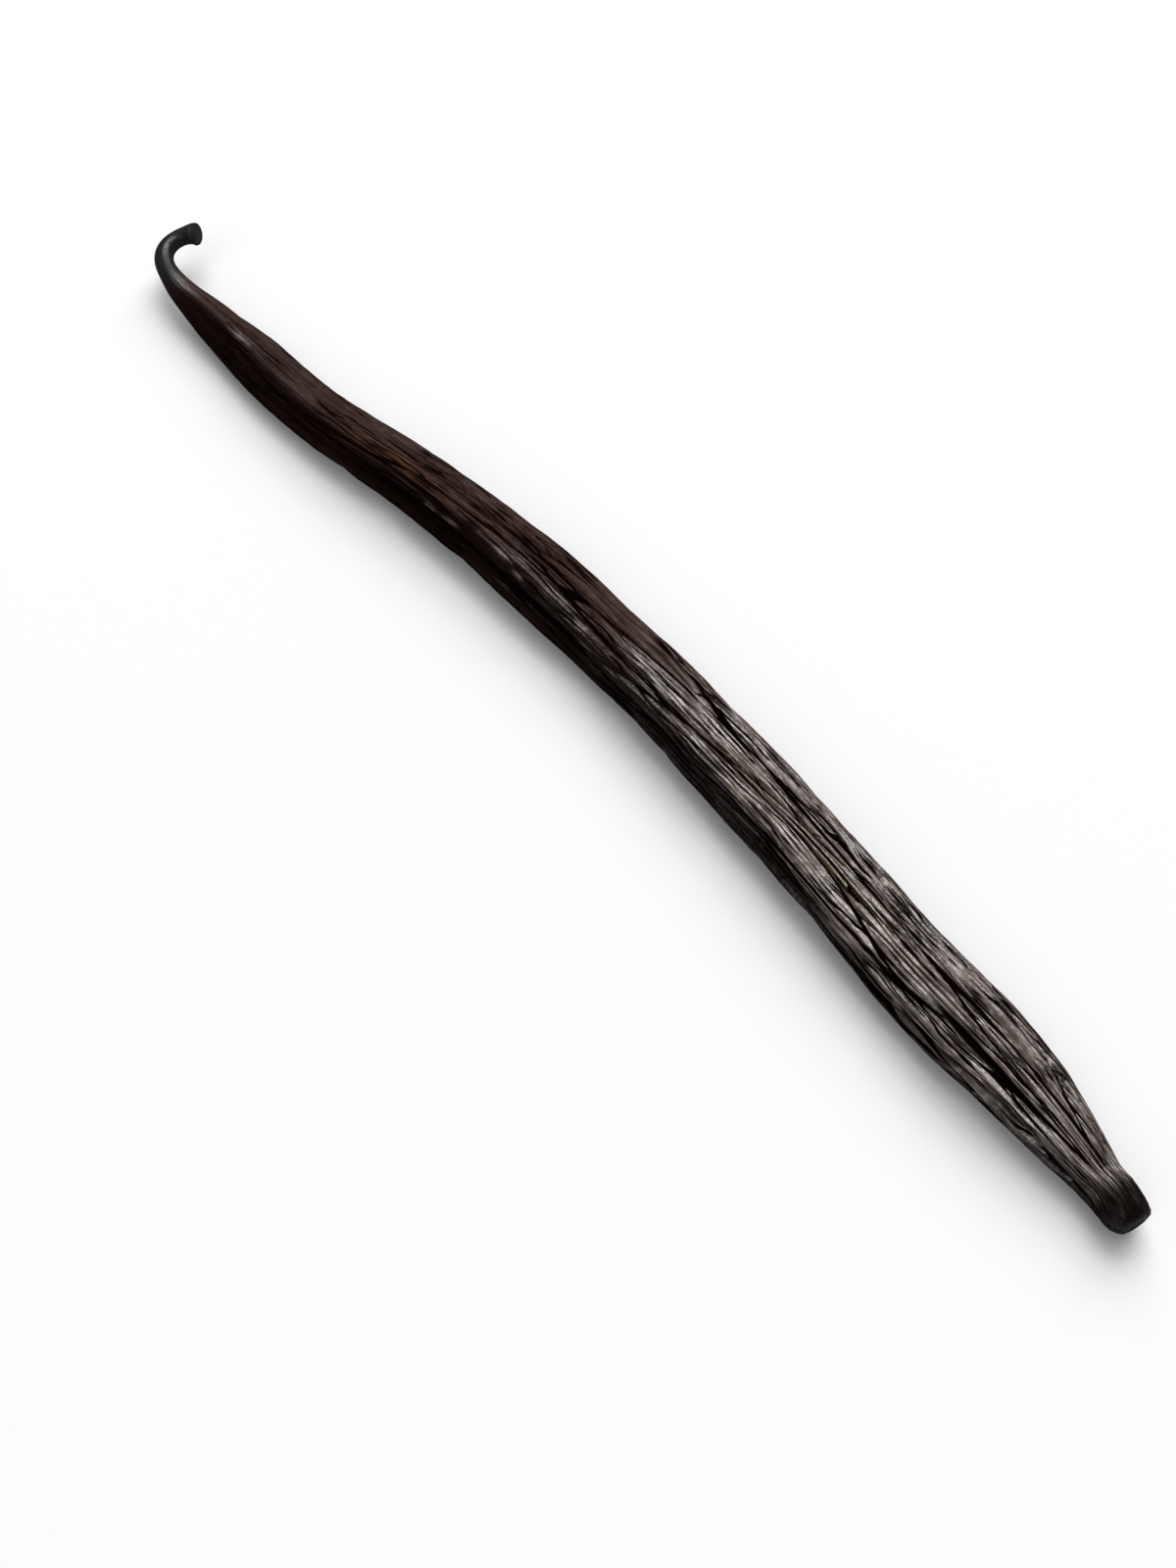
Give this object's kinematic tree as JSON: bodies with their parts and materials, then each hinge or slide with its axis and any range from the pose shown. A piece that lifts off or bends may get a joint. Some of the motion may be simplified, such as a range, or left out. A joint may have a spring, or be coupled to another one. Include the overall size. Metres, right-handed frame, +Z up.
{
  "type": "vanilla pod",
  "caption": "Cured vanilla pod: a long, slightly flattened and deeply wrinkled dark brown seed pod with a thin hooked stem at one end and a short taper to a blunt tip at the other.",
  "frame": {"origin": "under the middle of the pod's box, on the surface that the pod lies on", "axes": "+X along the pod from the hooked stem to the blunt blossom end, +Z up"},
  "size_m": [0.172, 0.0132, 0.0067],
  "materials": {
    "pod_skin": "cured pod skin, very dark brown, oily semi-gloss ridges with near-black furrows"
  },
  "bodies": {
    "root": {"vanilla_pod": "pod_skin"}
  },
  "joints": []
}
